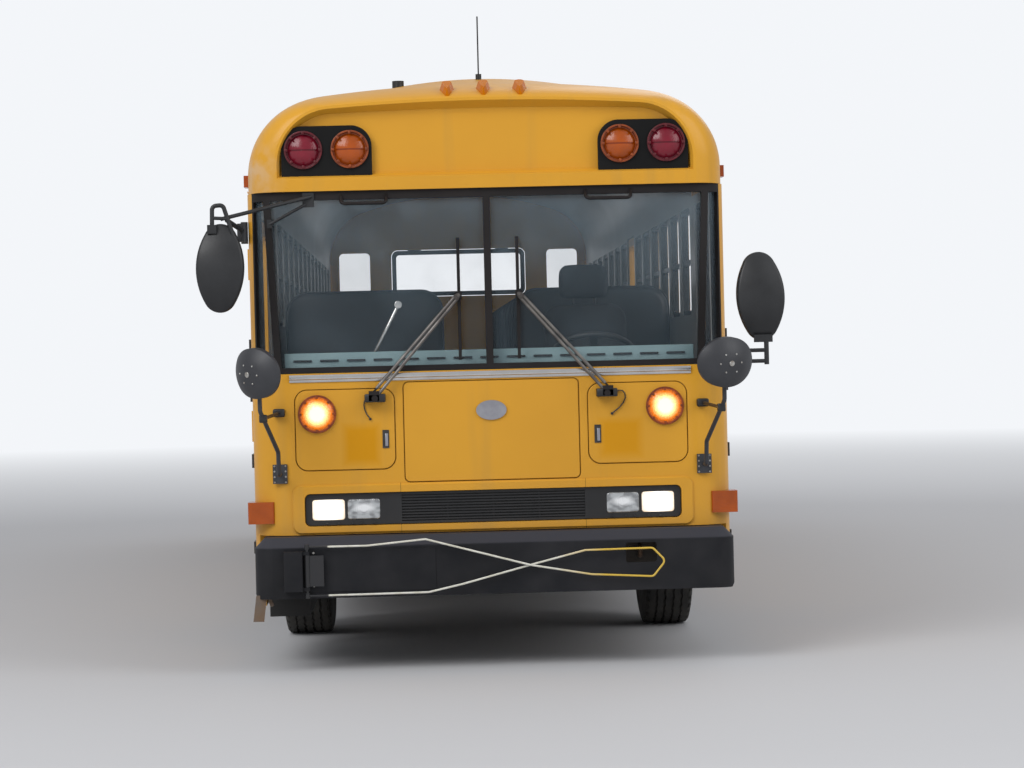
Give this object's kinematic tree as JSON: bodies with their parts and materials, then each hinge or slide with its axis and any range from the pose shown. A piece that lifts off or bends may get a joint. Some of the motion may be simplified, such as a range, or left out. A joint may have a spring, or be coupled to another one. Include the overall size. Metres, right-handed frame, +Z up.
{
  "type": "school bus",
  "caption": "Flat-fronted school bus with a rear engine, turning steered wheels, opening doors, roof hatches, a swinging crossing arm and a stop arm.",
  "frame": {"origin": "on the ground, on the centre line, halfway between the foremost mirror and the rear bumper", "axes": "+X to the driver's side (the bus's left), +Y towards the tail, +Z up; the nose faces -Y"},
  "size_m": [2.9382, 12.3099, 3.43],
  "materials": {
    "yellow_paint": "satin",
    "black_paint": "satin",
    "bumper_paint": "satin",
    "chassis": "matte",
    "cast": "rough",
    "wheel_steel": "satin",
    "tyre": "matte",
    "glass": "clear",
    "sash_metal": "satin",
    "clear_lens": "clear",
    "amber_lens": "gloss",
    "red_lens": "gloss",
    "red_sign": "satin",
    "white_rod": "satin",
    "black_plastic": "satin",
    "seat_vinyl": "satin",
    "driver_cloth": "matte",
    "floor_rubber": "matte",
    "grey_plastic": "matte",
    "steel": "satin"
  },
  "bodies": {
    "body": {"side_wall_left": "yellow_paint", "side_wall_right": "yellow_paint", "roof": "yellow_paint", "rear_cap": "yellow_paint", "front_cap": "yellow_paint", "rear_wall": "yellow_paint", "front_panel": "yellow_paint", "front_access_panels": "yellow_paint", "windshield_frame": "black_paint", "windshield_glass": "glass", "window_sashes": "sash_metal", "window_glass": "glass", "rub_rails": "black_paint", "front_bumper": "bumper_paint", "rear_bumper": "bumper_paint", "grille": "black_plastic", "clear_lenses": "clear_lens", "lamp_housings": "black_paint", "red_lenses": "red_lens", "amber_lenses": "amber_lens", "wipers": "black_paint", "rearview_mirrors": "black_plastic", "crossview_mirrors": "black_plastic", "arm_brackets": "black_paint", "passenger_seats": "seat_vinyl", "driver_seat": "driver_cloth", "dashboard": "grey_plastic", "steering_wheel": "black_plastic", "floor": "floor_rubber", "floor_wells": "floor_rubber", "frame_rails": "chassis", "front_axle": "chassis", "rear_axle": "chassis", "engine_block": "cast", "fuel_tank": "chassis", "exhaust_pipe": "steel", "roof_aerial": "black_plastic"},
    "knuckle_left": {"knuckle_left": "cast"},
    "knuckle_right": {"knuckle_right": "cast"},
    "wheel_front_left": {"rim_front_left": "wheel_steel", "tyre_front_left": "tyre"},
    "wheel_front_right": {"rim_front_right": "wheel_steel", "tyre_front_right": "tyre"},
    "wheel_rear_left": {"rim_rear_left": "wheel_steel", "tyre_rear_left": "tyre"},
    "wheel_rear_right": {"rim_rear_right": "wheel_steel", "tyre_rear_right": "tyre"},
    "door_front": {"door_front_leaf": "yellow_paint", "door_front_glass": "glass"},
    "door_rear": {"door_rear_leaf": "yellow_paint", "door_rear_glass": "glass"},
    "emergency_door": {"emergency_door": "yellow_paint", "emergency_door_glass": "glass"},
    "rear_window": {"rear_window_sash": "black_paint", "rear_window_glass": "glass"},
    "engine_door": {"engine_door": "yellow_paint"},
    "hatch_front": {"roof_hatch_front": "yellow_paint"},
    "hatch_rear": {"roof_hatch_rear": "yellow_paint"},
    "crossing_arm": {"crossing_arm": "white_rod"},
    "stop_arm": {"stop_arm": "red_sign"}
  },
  "joints": [
    {"name": "steer_left", "type": "hinge", "parent": "body", "child": "knuckle_left", "pos_m": [0.872, -3.56, 0.5], "axis": [0, 0, 1], "range_deg": [-35, 35]},
    {"name": "steer_right", "type": "hinge", "parent": "body", "child": "knuckle_right", "pos_m": [-0.872, -3.56, 0.5], "axis": [0, 0, 1], "range_deg": [-35, 35]},
    {"name": "wheel_front_left_spin", "type": "hinge", "parent": "knuckle_left", "child": "wheel_front_left", "pos_m": [1.026, -3.56, 0.52], "axis": [1, 0, 0], "continuous": true},
    {"name": "wheel_front_right_spin", "type": "hinge", "parent": "knuckle_right", "child": "wheel_front_right", "pos_m": [-1.026, -3.56, 0.52], "axis": [1, 0, 0], "continuous": true},
    {"name": "wheel_rear_left_spin", "type": "hinge", "parent": "body", "child": "wheel_rear_left", "pos_m": [0.89, 3.02, 0.52], "axis": [1, 0, 0], "continuous": true},
    {"name": "wheel_rear_right_spin", "type": "hinge", "parent": "body", "child": "wheel_rear_right", "pos_m": [-0.89, 3.02, 0.52], "axis": [1, 0, 0], "continuous": true},
    {"name": "door_front_hinge", "type": "hinge", "parent": "body", "child": "door_front", "pos_m": [-1.229, -5.28, 1.3], "axis": [0, 0, 1], "range_deg": [0, 90]},
    {"name": "door_rear_hinge", "type": "hinge", "parent": "body", "child": "door_rear", "pos_m": [-1.229, -4.42, 1.3], "axis": [0, 0, -1], "range_deg": [0, 90]},
    {"name": "emergency_door_hinge", "type": "hinge", "parent": "body", "child": "emergency_door", "pos_m": [1.227, -0.012, 1.75], "axis": [0, 0, -1], "range_deg": [0, 90]},
    {"name": "rear_window_hinge", "type": "hinge", "parent": "body", "child": "rear_window", "pos_m": [0, 5.996, 2.554], "axis": [1, 0, 0], "range_deg": [0, 60]},
    {"name": "engine_door_hinge", "type": "hinge", "parent": "body", "child": "engine_door", "pos_m": [0, 5.996, 1.558], "axis": [1, 0, 0], "range_deg": [0, 80]},
    {"name": "hatch_front_hinge", "type": "hinge", "parent": "body", "child": "hatch_front", "pos_m": [0, -2.562, 3.135], "axis": [1, 0, 0], "range_deg": [0, 80]},
    {"name": "hatch_rear_hinge", "type": "hinge", "parent": "body", "child": "hatch_rear", "pos_m": [0, 2.538, 3.135], "axis": [1, 0, 0], "range_deg": [0, 80]},
    {"name": "crossing_arm_hinge", "type": "hinge", "parent": "body", "child": "crossing_arm", "pos_m": [-0.945, -5.842, 0.521], "axis": [0, 0, -1], "range_deg": [0, 90]},
    {"name": "stop_arm_hinge", "type": "hinge", "parent": "body", "child": "stop_arm", "pos_m": [1.262, -4.62, 1.235], "axis": [0, 0, -1], "range_deg": [0, 90]}
  ],
  "couplings": [
    {"joint": "steer_right", "follows": "steer_left", "ratio": 1},
    {"joint": "door_rear_hinge", "follows": "door_front_hinge", "ratio": 1}
  ]
}
